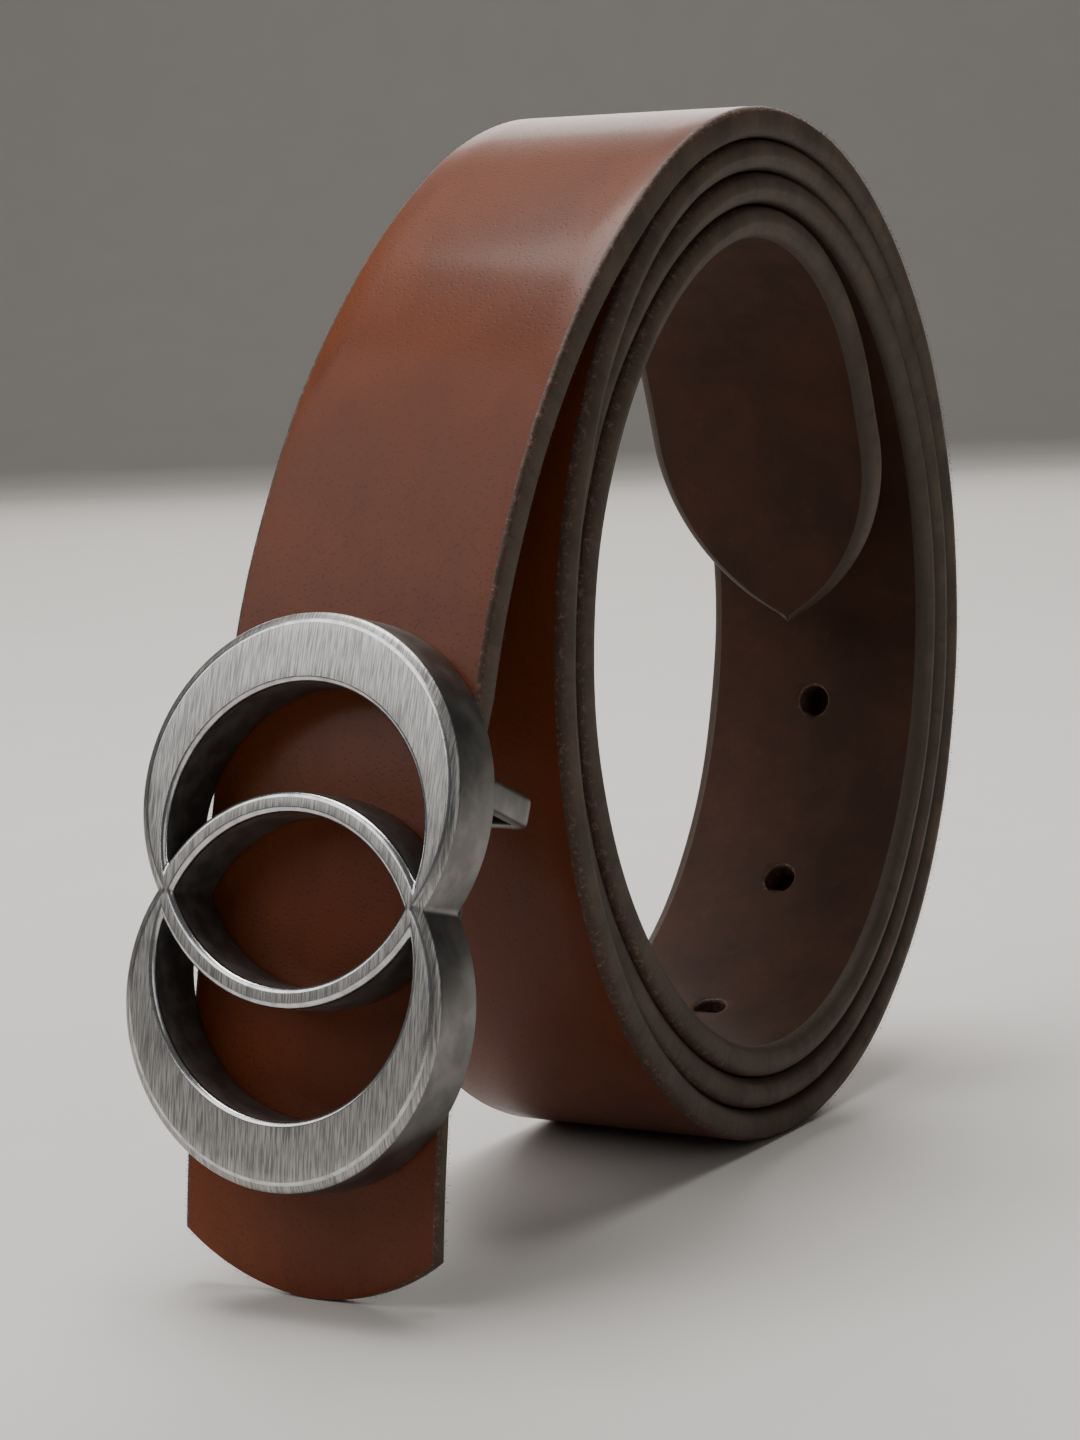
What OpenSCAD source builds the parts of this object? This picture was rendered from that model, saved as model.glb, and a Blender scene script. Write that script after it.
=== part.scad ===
// Leather dress belt, rolled into a coil that stands on its rim, with a double-ring plate buckle.
// X is the belt's width, -Y is the front (the buckle's side), Z is up.
// The origin is on the floor, in the middle of the coil's flattened foot.

/* [Strap] */
// Width of the strap
strap_w = 30; // [25:0.5:38]
// Thickness of the strap
strap_t = 3.5; // [2.4:0.1:4.4]
// Thickness of the skived end behind the buckle
end_t = 1.8; // [1.4:0.1:2.4]
// Length of the taper between the two thicknesses
skive_len = 12; // [6:1:20]
// Radius of the convex cut across the strap's buckle end
end_cut_r = 24; // [22:1:60]
// Radius of the two arcs that form the tip
tip_r = 26; // [20:0.5:40]

/* [Coil] */
// Overall height of the coil
coil_h = 117.4; // [95:0.1:125]
// Overall depth of the coil, front to back
coil_d = 101.2; // [84:0.1:125]
// Full turns from the top of the outer layer to the top of the inner layer
turns = 3; // [2:1:3]
// Gap between one layer and the next
layer_gap = 0.15; // [0.12:0.01:0.4]
// How far the outer layer is pressed flat where it rests
foot_press = 0.15; // [0.05:0.05:0.4]
// Degrees past the top at which the front strap leaves the coil
leave_angle = 25; // [15:1:35]
// Degrees past the top at which the tail leaves the layer above it
tail_angle = 12; // [4:1:20]
// Slope of the tail's straight length, in degrees
tail_slope = 73; // [60:1:78]
// Straight length at the tail
tail_straight = 30; // [26:1:40]
// Space between the tail's tip and the layer behind it
tip_gap = 5; // [1:0.1:8]

/* [Front strap] */
// Length of the gently curved stretch that stands on the floor and carries the buckle
front_len = 60.8; // [54:0.1:75]
// Radius of that stretch, on the grain side
front_r = 240; // [180:1:320]
// Lean of the strap, from upright, at the top of that stretch, in degrees
front_lean = 18.5; // [16:0.5:24]

/* [Holes] */
// Number of size holes in the tail
hole_count = 7; // [5:1:8]
// Distance between size holes
hole_pitch = 25.4; // [20:0.1:28]
// Distance from the tip to the first size hole
first_hole = 119.6; // [95:0.1:125]
// Diameter of a size hole
hole_d = 3.8; // [3.2:0.1:5]

/* [Buckle] */
// Distance from the strap's end to the middle of the buckle
buckle_from_end = 39.1; // [36:0.1:46]
// How far each ring's side stands past the strap's edge
ring_overhang = 3.5; // [3.5:0.1:5]
// Distance between the centres of the two outer circles
ring_spacing = 20; // [16:0.1:23]
// Width of the band at its narrow sides
band_side = 3.5; // [3.3:0.1:4.2]
// Distance between the centres of the two openings
opening_spacing = 12.94; // [11:0.01:15]
// Width of the two thin crossing arcs
arc_w = 2.12; // [1.5:0.01:2.8]
// Depth of the buckle's walls
frame_t = 7.2; // [5.6:0.1:8]
// Width of the sloped shoulder on the frame's outer sides
shoulder_w = 1.1; // [0.4:0.1:1.2]
// Height of that shoulder
shoulder_h = 0.6; // [0.3:0.1:1.2]

/* [Strap loop] */
// Thickness of the loop's legs, across the belt
leg_t = 1.75; // [1.5:0.05:1.75]
// Height of the loop's bar, along the belt
bar_h = 3; // [2.2:0.1:3.2]
// Thickness of the loop's crossbar
bar_t = 2; // [1.6:0.1:2.6]
// Space for the tail between the strap and the crossbar
tail_room = 6.5; // [5:0.1:7.5]
// How far the pivots stand above the upper ring's middle
loop_raise = 2.5; // [1:0.05:3]
// Space between a leg and the strap's edge
leg_gap = 0.35; // [0.25:0.05:0.4]
// Diameter of the two pivot pins
pivot_d = 1.2; // [1:0.1:1.3]
// Swing of the loop to each side of square, in degrees
loop_swing = 18; // [10:1:20]
// How far the loop hangs below square, in degrees
loop_rest = 7; // [0:1:9]

/* [Stud and screws] */
// Diameter of the hook stud
stud_d = 3; // [2.6:0.1:3.4]
// Length of the stud's neck behind its collar
stud_reach = 3.9; // [3.5:0.1:5]
// Diameter of the stud's rounded head
stud_head_d = 4; // [3.6:0.1:4.4]
// Distance between the two strap screws
screw_spacing = 13; // [10:0.5:15]
// Diameter of a strap screw's thread
screw_d = 2.5; // [2:0.1:3]
// Diameter of a strap screw's head
screw_head_d = 5.5; // [4.5:0.1:6]
// Thickness of a strap screw's head
screw_head_t = 1; // [0.8:0.1:1.4]

/* [Hidden] */
$fn = 64;

// Clearances
run_gap = 0.05;       // pivot pin in the loop's eyes, all round
side_gap = 0.075;     // loop's leg in its slot, each side
slot_gap = 0.15;      // loop's leg short of its slot's ends and floor
leather_gap = 0.2;    // stud and screws in the strap, all round
seat_gap = 0.02;      // pressed and threaded metal, all round
rest_gap = 0.05;      // faces that rest on the strap
through = 0.07;       // how far a punch runs past a layer, less than the layer gap
margin = 1;           // how far a cutter stands past what it cuts
front_room = 13;      // least space between the coil and the front strap where its bend starts

// Coil: an oval spiral whose half axes shrink by one layer each turn
pitch = strap_t + layer_gap;
half_h = (coil_h + foot_press + pitch / 2) / 2;
half_d = (coil_d + pitch) / 2;
coil_y = -pitch / 4;
coil_z = coil_h - half_h;
step = 6;
last_angle = 360 * turns - tail_angle;

function coil_half_d(a) = half_d - pitch * a / 360;
function coil_half_h(a) = half_h - pitch * a / 360;
function coil_point(a) = [coil_y + coil_half_d(a) * sin(a), coil_z + coil_half_h(a) * cos(a)];
function unit(v) = v / norm(v);
function coil_normal(a) = unit([coil_half_h(a) * sin(a), coil_half_d(a) * cos(a)]);

// Front strap, from the floor up: a gentle arc of front_r, then a tighter one to the coil
function lean_dir(a) = [-cos(a), sin(a)];
leave_point = coil_point(-leave_angle);
leave_normal = coil_normal(-leave_angle);
leave_lean = atan2(leave_normal[1], -leave_normal[0]);
stretch_turn = front_len / front_r * 180 / PI;
room_reach = leave_point[0] + coil_d / 2 + front_room;

// On a short coil the strap leans further, so that the loop still clears the coil
function rise(a) = end_t * sin(a - stretch_turn) + front_r * (sin(a) - sin(a - stretch_turn));
function clear_lean(a, rounds) = rounds == 0 ? a
    : clear_lean(2 * atan(room_reach / (leave_point[1] - rise(a))) - leave_lean, rounds - 1);
lean = max(front_lean, clear_lean(front_lean, 12));
end_lean = lean - stretch_turn;
end_z = max(0, end_t * sin(end_lean));
join_z = end_z + front_r * (sin(lean) - sin(end_lean));
bend_r = (leave_point[1] - join_z) / (sin(leave_lean) - sin(lean));
join_y = leave_point[0] - bend_r * (cos(lean) - cos(leave_lean));
front_centre = [join_y, join_z] - front_r * lean_dir(lean);
bend_centre = [join_y, join_z] - bend_r * lean_dir(lean);

// Tail: a tighter arc from the inner layer's top, then a straight length to the tip
tail_start = coil_point(last_angle);
start_normal = coil_normal(last_angle);
start_slope = atan2(start_normal[0], start_normal[1]);
wall_y = coil_point(360 * turns - 270)[0] - strap_t;
tail_r = (wall_y - tip_gap - tail_start[0] - tail_straight * cos(tail_slope))
    / (sin(tail_slope) - sin(start_slope));
tail_centre = tail_start - tail_r * start_normal;
tail_normal = [sin(tail_slope), cos(tail_slope)];
tip_point = tail_centre + tail_r * tail_normal + tail_straight * [cos(tail_slope), -sin(tail_slope)];
tip_len = sqrt(tip_r * tip_r - pow(tip_r - strap_w / 2, 2));

// The strap's grain side as [point, normal] pairs, from the buckle's end to the tip
front_steps = 12;
bend_steps = 10;
tail_steps = 12;
first_angle = -step * floor(leave_angle / step - 0.01);
path = concat(
    [for (i = [0:front_steps]) let(a = end_lean + (lean - end_lean) * i / front_steps)
        [front_centre + front_r * lean_dir(a), lean_dir(a)]],
    [for (i = [1:bend_steps]) let(a = lean + (leave_lean - lean) * i / bend_steps)
        [bend_centre + bend_r * lean_dir(a), lean_dir(a)]],
    [for (a = [first_angle:step:last_angle - step / 2]) [coil_point(a), coil_normal(a)]],
    [for (i = [0:tail_steps]) let(a = start_slope + (tail_slope - start_slope) * i / tail_steps)
        [tail_centre + tail_r * [sin(a), cos(a)], [sin(a), cos(a)]]],
    [[tip_point, tail_normal]]);
count = len(path);
runs = [for (i = 0, s = 0; i < count;
    s = s + (i + 1 < count ? norm(path[i + 1][0] - path[i][0]) : 0), i = i + 1) s];
strap_len = runs[count - 1];

// The skive ends where the front stretch does, below the strap screws
skive_foot = front_len - skive_len;
function thickness(s) = end_t + (strap_t - end_t) * max(0, min(1, (s - skive_foot) / skive_len));

// The point and the normal at a run along the strap
function index_at(s) = max([for (i = [0:count - 2]) if (runs[i] <= s) i]);
function share_at(s, i) = (s - runs[i]) / (runs[i + 1] - runs[i]);
function point_at(s) = let(i = index_at(s), f = share_at(s, i)) path[i][0] * (1 - f) + path[i + 1][0] * f;
function normal_at(s) = let(i = index_at(s), f = share_at(s, i))
    unit(path[i][1] * (1 - f) + path[i + 1][1] * f);

// Buckle: two outer circles, two nearer openings and two thin arcs round the openings
ring_r = strap_w / 2 + ring_overhang;
opening_r = ring_r - band_side;
opening_u = opening_spacing / 2;
ring_u = ring_spacing / 2;
back_r = front_r + rest_gap;
face_r = back_r + frame_t;
shoulder_n = frame_t - shoulder_h;

// Places on the buckle, measured up the strap from the buckle's middle
stud_u = -(ring_u + ring_r + opening_u + opening_r) / 2;
screw_x = screw_spacing / 2;
screw_u = (ring_u + sqrt(ring_r * ring_r - screw_x * screw_x)
    + opening_u + sqrt(opening_r * opening_r - screw_x * screw_x)) / 2;

// Strap loop: its eyes turn on pins inside slots in the band's sides
slot_w = leg_t + 2 * side_gap;
slot_x = (strap_w + leg_t) / 2 + leg_gap;
loop_u = ring_u + loop_raise;
side_x = sqrt(ring_r * ring_r - loop_raise * loop_raise);
eye_r = bar_h / 2;
pivot_depth = 2.2;
pivot_n = rest_gap + pivot_depth;
loop_run = buckle_from_end + loop_u;
bar_drop = pivot_n + thickness(loop_run) + tail_room;
corner_r = 1.2;
slot_half = eye_r / cos(loop_swing) + pivot_depth * tan(loop_swing) + slot_gap;
slot_top = pivot_n + eye_r + slot_gap;
pin_bite = 0.35;
pin_inset = 0.2;

// Stud and screws
stud_seat = 3.5;
collar_d = 6;
collar_t = 1;
head_h = 1;
screw_seat = 4;

// Turn a [y, z] outline into a solid of the given width, centred on X = 0
module across(w) {
    rotate([90, 0, 90])
        translate([0, 0, -w / 2])
            linear_extrude(w)
                children();
}

// Place a child so that its +Z is a normal of the strap and its +Y runs towards the tip
module on_strap(p, n) {
    translate([0, p[0], p[1]])
        rotate([atan2(-n[0], n[1]), 0, 0])
            children();
}

// The same at a run along the strap
module at_run(s) {
    on_strap(point_at(s), normal_at(s))
        children();
}

module strap_profile() {
    grain = [for (i = [0:count - 1]) path[i][0]];
    flesh = [for (i = [count - 1:-1:0]) path[i][0] - thickness(runs[i]) * path[i][1]];
    polygon(concat(grain, flesh));
}

// What the convex end cut takes away
module end_cut() {
    on_strap(path[0][0], path[0][1])
        translate([0, 0, -end_t - margin])
            linear_extrude(end_t + 2 * margin)
                difference() {
                    translate([-strap_w, -margin])
                        square([2 * strap_w, end_cut_r / 2 + margin]);
                    translate([0, end_cut_r])
                        circle(r = end_cut_r, $fn = 128);
                }
}

// What the pointed tip takes away; it stops just past the grain side
module tip_cut() {
    on_strap(tip_point, tail_normal)
        translate([0, 0, -strap_t - margin])
            linear_extrude(strap_t + margin + through)
                difference() {
                    translate([-strap_w, -tip_len])
                        square([2 * strap_w, tip_len + margin]);
                    intersection_for(side = [-1, 1])
                        translate([side * (tip_r - strap_w / 2), -tip_len])
                            circle(r = tip_r, $fn = 128);
                }
}

// A round hole through the strap at a run along it
module punch(s, d, x = 0) {
    at_run(s)
        translate([x, 0, -strap_t - through])
            cylinder(d = d, h = strap_t + 2 * through);
}

module strap() {
    color("saddlebrown")
        difference() {
            across(strap_w)
                strap_profile();
            translate([-strap_w, -strap_w, -strap_w])
                cube([2 * strap_w, 2 * strap_w, strap_w]);
            end_cut();
            tip_cut();
            for (k = [0:hole_count - 1])
                punch(strap_len - first_hole - k * hole_pitch, hole_d);
            punch(buckle_from_end + stud_u, stud_d + 2 * leather_gap);
            for (x = [-screw_x, screw_x])
                punch(buckle_from_end + screw_u, screw_d + 2 * leather_gap, x);
        }
}

// A thin arc round the opening on one side, kept inside the other opening
module crossing_arc(side) {
    intersection() {
        difference() {
            translate([0, side * opening_u])
                circle(r = opening_r + arc_w, $fn = 96);
            translate([0, side * opening_u])
                circle(r = opening_r, $fn = 96);
        }
        translate([0, -side * opening_u])
            circle(r = opening_r + margin / 2, $fn = 96);
    }
}

// The frame before its back and face are cut to their curves, its sides sloped at the face
module frame_blank() {
    difference() {
        for (v = [-ring_u, ring_u])
            translate([0, v, 0]) {
                translate([0, 0, -3 * margin])
                    cylinder(r = ring_r, h = shoulder_n + 3 * margin, $fn = 96);
                translate([0, 0, shoulder_n])
                    cylinder(r1 = ring_r, r2 = ring_r - 2 * shoulder_w, h = 2 * shoulder_h, $fn = 96);
            }
        translate([0, 0, -4 * margin])
            linear_extrude(3 * frame_t)
                for (v = [-opening_u, opening_u])
                    translate([0, v])
                        circle(r = opening_r, $fn = 96);
    }
    translate([0, 0, -3 * margin])
        linear_extrude(frame_t + 4 * margin)
            for (side = [-1, 1])
                crossing_arc(side);
}

// The frame's slot for one of the loop's legs, open at the back
module leg_slot(x) {
    translate([x - slot_w / 2, -slot_half, -margin])
        cube([slot_w, 2 * slot_half, margin + slot_top]);
}

// A pivot pin from the band's outer side into its inner wall
module pivot_pin(side, gap) {
    outer_end = side_x - pin_inset;
    inner_end = slot_x - slot_w / 2 - pin_bite;
    past_end = gap > 0 ? gap + margin : 0;
    translate([side * (inner_end - gap), 0, pivot_n])
        rotate([0, side * 90, 0])
            cylinder(d = pivot_d + 2 * gap, h = outer_end - inner_end + past_end, $fn = 32);
}

module buckle_frame() {
    color("dimgray")
        difference() {
            intersection() {
                at_run(buckle_from_end)
                    frame_blank();
                translate([0, front_centre[0], front_centre[1]])
                    rotate([0, 90, 0])
                        difference() {
                            cylinder(r = face_r, h = 3 * ring_r, center = true, $fn = 360);
                            cylinder(r = back_r, h = 4 * ring_r, center = true, $fn = 360);
                        }
            }
            at_run(loop_run) {
                for (side = [-1, 1]) {
                    leg_slot(side * slot_x);
                    pivot_pin(side, seat_gap);
                }
            }
            at_run(buckle_from_end + stud_u)
                translate([0, 0, -margin])
                    cylinder(d = stud_d + 2 * seat_gap, h = margin + rest_gap + stud_seat + seat_gap);
            at_run(buckle_from_end + screw_u)
                for (x = [-screw_x, screw_x])
                    translate([x, 0, -margin])
                        cylinder(d = screw_d + 2 * seat_gap, h = margin + rest_gap + screw_seat + seat_gap);
        }
}

module loop_pivots() {
    color("silver")
        at_run(loop_run)
            for (side = [-1, 1])
                pivot_pin(side, 0);
}

// The loop's outline seen along the strap, open at the top, its corners rounded
module loop_outline() {
    outer_x = slot_x + leg_t / 2;
    inner_x = slot_x - leg_t / 2;
    low = -bar_drop - bar_t;
    difference() {
        union() {
            translate([-outer_x, low + corner_r])
                square([2 * outer_x, -low - corner_r]);
            translate([corner_r - outer_x, low])
                square([2 * (outer_x - corner_r), corner_r + margin / 2]);
            for (side = [-1, 1])
                translate([side * (outer_x - corner_r), low + corner_r])
                    circle(r = corner_r, $fn = 48);
        }
        translate([-inner_x, -bar_drop])
            square([2 * inner_x, bar_drop + margin]);
    }
}

module strap_loop() {
    color("dimgray")
        at_run(loop_run)
            translate([0, 0, pivot_n])
                rotate([-loop_rest, 0, 0])
                    difference() {
                        union() {
                            translate([0, bar_h / 2, 0])
                                rotate([90, 0, 0])
                                    linear_extrude(bar_h)
                                        loop_outline();
                            for (side = [-1, 1])
                                translate([side * slot_x, 0, 0])
                                    rotate([0, 90, 0])
                                        cylinder(r = eye_r, h = leg_t, center = true);
                        }
                        for (side = [-1, 1])
                            translate([side * slot_x, 0, 0])
                                rotate([0, 90, 0])
                                    cylinder(d = pivot_d + 2 * run_gap, h = 2 * leg_t, center = true, $fn = 32);
                    }
}

// One turned piece: seat in the frame, neck through the strap, collar, neck for the tail, head
module hook_stud() {
    under = thickness(buckle_from_end + stud_u) + rest_gap;
    color("silver")
        at_run(buckle_from_end + stud_u) {
            translate([0, 0, -under - collar_t - stud_reach])
                cylinder(d = stud_d, h = under + collar_t + stud_reach + rest_gap + stud_seat);
            translate([0, 0, -under - collar_t])
                cylinder(d = collar_d, h = collar_t);
            translate([0, 0, -under - collar_t - stud_reach - head_h / 2])
                cylinder(d1 = stud_d, d2 = stud_head_d, h = head_h / 2);
            translate([0, 0, -under - collar_t - stud_reach])
                cylinder(d1 = stud_head_d, d2 = stud_d, h = head_h / 2);
        }
}

module strap_screws() {
    under = thickness(buckle_from_end + screw_u) + rest_gap;
    drive_w = 0.8;
    color("silver")
        at_run(buckle_from_end + screw_u)
            for (x = [-screw_x, screw_x])
                translate([x, 0, 0])
                    difference() {
                        union() {
                            translate([0, 0, -under])
                                cylinder(d = screw_d, h = under + rest_gap + screw_seat);
                            translate([0, 0, -under - screw_head_t])
                                cylinder(d = screw_head_d, h = screw_head_t);
                        }
                        translate([-screw_head_d, -drive_w / 2, -under - screw_head_t - margin])
                            cube([2 * screw_head_d, drive_w, margin + screw_head_t / 2]);
                    }
}

strap();
buckle_frame();
strap_loop();
loop_pivots();
hook_stud();
strap_screws();
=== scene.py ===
import math

import bmesh
import bpy
import numpy as np
from mathutils import Matrix, Vector
from mathutils.geometry import delaunay_2d_cdt


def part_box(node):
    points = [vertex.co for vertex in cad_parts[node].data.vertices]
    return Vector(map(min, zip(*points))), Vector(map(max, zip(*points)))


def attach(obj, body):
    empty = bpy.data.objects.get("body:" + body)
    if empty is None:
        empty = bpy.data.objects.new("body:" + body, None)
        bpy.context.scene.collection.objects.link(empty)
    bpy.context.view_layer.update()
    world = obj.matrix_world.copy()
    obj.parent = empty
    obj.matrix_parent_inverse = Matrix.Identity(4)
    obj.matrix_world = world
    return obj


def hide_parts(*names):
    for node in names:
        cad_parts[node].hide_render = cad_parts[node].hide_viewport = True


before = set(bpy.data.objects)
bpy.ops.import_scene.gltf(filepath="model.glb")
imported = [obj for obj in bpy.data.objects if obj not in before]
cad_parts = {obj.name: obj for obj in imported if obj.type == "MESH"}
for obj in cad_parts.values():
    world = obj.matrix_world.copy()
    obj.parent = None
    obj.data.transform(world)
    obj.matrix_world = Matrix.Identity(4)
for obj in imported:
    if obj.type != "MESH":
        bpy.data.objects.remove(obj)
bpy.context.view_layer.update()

# ---------------------------------------------------------------------------------------------
# Strap
# One ply of finished leather, about 1.2 m long: glazed grain side out, raw flesh side in, edges
# sanded and burnished. Rolled three times; the skived end hangs in front and carries the buckle.
# ---------------------------------------------------------------------------------------------
strap_low, strap_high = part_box("strap")
half_w = (strap_high[0] - strap_low[0]) / 2
coil_height = strap_high[2]
coil_depth = 2 * strap_high[1]
leather = 0.0035          # thickness of the strap
end_leather = 0.0018      # and of its skived end
skive = (0.0488, 0.0608)  # where the taper between the two starts and ends
lay = 0.00365             # from one layer of the coil to the next
press = 0.00015           # how far the foot is pressed flat
half_high = (coil_height + press + lay / 2) / 2
half_deep = (coil_depth + lay) / 2
mid_y, mid_z = -lay / 4, coil_height - half_high
front_radius = 0.240
front_run = 0.0608
front_lean = math.radians(18.5)
leave = math.radians(25)
tail_leave = math.radians(12)
tail_slope = math.radians(73)
tail_straight = 0.030
tip_gap = 0.005
tip_radius = 0.026
end_radius = 0.024
skew = 0.03               # slope of the end cut across the strap
skew_length = 0.02        # how far up the strap the slope dies out
hole_runs = [0.1196 + 0.0254 * k for k in range(7)]
hole_r = 0.0019


def coil(a):
    deep = half_deep - lay * a / math.tau
    high = half_high - lay * a / math.tau
    p = (mid_y + deep * math.sin(a), mid_z + high * math.cos(a))
    n = (high * math.sin(a), deep * math.cos(a))
    size = math.hypot(*n)
    return p, (n[0] / size, n[1] / size)


def lean(a):
    return -math.cos(a), math.sin(a)


end_lean = front_lean - front_run / front_radius
leave_p, leave_n = coil(-leave)
leave_lean = math.atan2(leave_n[1], -leave_n[0])
join_z = end_leather * math.sin(end_lean) + front_radius * (math.sin(front_lean) - math.sin(end_lean))
bend_radius = (leave_p[1] - join_z) / (math.sin(leave_lean) - math.sin(front_lean))
join_y = leave_p[0] - bend_radius * (math.cos(front_lean) - math.cos(leave_lean))
front_mid = (join_y + front_radius * math.cos(front_lean), join_z - front_radius * math.sin(front_lean))
bend_mid = (join_y + bend_radius * math.cos(front_lean), join_z - bend_radius * math.sin(front_lean))
last = 3 * math.tau - tail_leave
tail_p, tail_n = coil(last)
tail_start = math.atan2(tail_n[0], tail_n[1])
wall_y = coil(3 * math.tau - 0.75 * math.tau)[0][0] - leather
tail_radius = ((wall_y - tip_gap - tail_p[0] - tail_straight * math.cos(tail_slope))
               / (math.sin(tail_slope) - math.sin(tail_start)))
tail_mid = (tail_p[0] - tail_radius * tail_n[0], tail_p[1] - tail_radius * tail_n[1])

track = []
for i in range(121):
    a = end_lean + (front_lean - end_lean) * i / 120
    n = lean(a)
    track.append((front_mid[0] + front_radius * n[0], front_mid[1] + front_radius * n[1], *n, 0))
for i in range(1, 120):
    a = front_lean + (leave_lean - front_lean) * i / 120
    n = lean(a)
    track.append((bend_mid[0] + bend_radius * n[0], bend_mid[1] + bend_radius * n[1], *n, 0))
for i in range(2401):
    a = -leave + (last + leave) * i / 2400
    p, n = coil(a)
    track.append((*p, *n, a))
for i in range(1, 121):
    a = tail_start + (tail_slope - tail_start) * i / 120
    n = math.sin(a), math.cos(a)
    track.append((tail_mid[0] + tail_radius * n[0], tail_mid[1] + tail_radius * n[1], *n, last))
for i in range(1, 61):
    step = tail_straight * i / 60
    track.append((tail_mid[0] + tail_radius * math.sin(tail_slope) + step * math.cos(tail_slope),
                  tail_mid[1] + tail_radius * math.cos(tail_slope) - step * math.sin(tail_slope),
                  math.sin(tail_slope), math.cos(tail_slope), last))
track = np.array(track)
track_run = np.concatenate([[0], np.cumsum(np.hypot(*np.diff(track[:, :2], axis=0).T))])
strap_length = track_run[-1]


def along(run):
    """Point, normal and coil angle at a run along the grain side."""
    row = [float(np.interp(run, track_run, track[:, k])) for k in range(5)]
    size = math.hypot(row[2], row[3])
    return Vector((0, row[0], row[1])), Vector((0, row[2] / size, row[3] / size)), row[4]


def thick(run):
    share = min(1, max(0, (run - skive[0]) / (skive[1] - skive[0])))
    return end_leather + (leather - end_leather) * share


def wander(run, seed, size, length):
    """A soft, repeatable drift along the strap."""
    rng = np.random.default_rng(seed)
    waves = rng.uniform(0.6, 1.6, 5) / length
    phases = rng.uniform(0, math.tau, 5)
    return size * float(np.sum(np.sin(math.tau * waves * run + phases))) / 3


def sideways(run, angle):
    """The inner layers sit a little further from the near rim at the front of the coil."""
    turn = round((angle - 0.75 * math.tau) / math.tau)
    away = abs(angle - (turn + 0.75) * math.tau)
    hump = 0.5 + 0.5 * math.cos(math.pi * min(1, away / math.radians(78)))
    return -(0, 0.0026, 0.0021, 0)[max(0, min(3, turn))] * hump


def plan_half(run):
    """Half width of the strap, narrowing round the end cut and the tip."""
    if run < end_radius:
        end_half = math.sqrt(max(0, end_radius ** 2 - (end_radius - run) ** 2))
    else:
        end_half = half_w
    back = tip_length - (strap_length - run)
    if back > 0:
        tip_half = math.sqrt(max(0, tip_radius ** 2 - back ** 2)) - tip_radius + half_w
    else:
        tip_half = half_w
    return max(0.00005, min(half_w, end_half, tip_half))


tip_length = math.sqrt(tip_radius ** 2 - (tip_radius - half_w) ** 2)
end_turn = math.asin(half_w / end_radius)
tip_turn = math.asin(tip_length / tip_radius)
sections = [end_radius * (1 - math.cos(end_turn * i / 22)) for i in range(23)]
sections += list(np.linspace(sections[-1] + 0.0006, strap_length - tip_length, 860))
sections += [strap_length - tip_length + tip_radius * math.sin(tip_turn * i / 30) for i in range(1, 31)]


def skewed(run, n, x):
    """How far the end cut's slope moves a point of the strap towards its end."""
    return Vector((0, -n.z, n.y)) * skew * x * max(0, 1 - run / skew_length) ** 2


def ring(run):
    """One cross-section as (x, depth) points from the grain side's -X end, and the thickness."""
    half, t = plan_half(run), thick(run)
    rolled = min(1, max(0, (run - 0.12) / 0.08))
    grain_round = min(0.0005 + 0.0007 * rolled, half * 0.9, t * 0.40)
    flesh_round = min(0.0007 + 0.0008 * rolled, half * 0.9, t * 0.45)
    points = []
    flat = half - grain_round
    points += [(flat * k / 5, 0) for k in range(-5, 6)]
    points += [(half - grain_round * (1 - math.sin(q)), grain_round * (1 - math.cos(q)))
               for q in (math.radians(v) for v in (22, 45, 68, 90))]
    points += [(half + 0.00012 * min(1, half / half_w), t * 0.5)]
    points += [(half - flesh_round * (1 - math.cos(q)), t - flesh_round * (1 - math.sin(q)))
               for q in (math.radians(v) for v in (0, 22, 45, 68))]
    flat = half - flesh_round
    points += [(-flat * k / 5, t) for k in range(-5, 6)]
    points += [(-(half - flesh_round * (1 - math.cos(q))), t - flesh_round * (1 - math.sin(q)))
               for q in (math.radians(v) for v in (68, 45, 22, 0))]
    points += [(-half - 0.00012 * min(1, half / half_w), t * 0.5)]
    points += [(-(half - grain_round * (1 - math.sin(q))), grain_round * (1 - math.cos(q)))
               for q in (math.radians(v) for v in (90, 68, 45, 22))]
    return points, t


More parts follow.
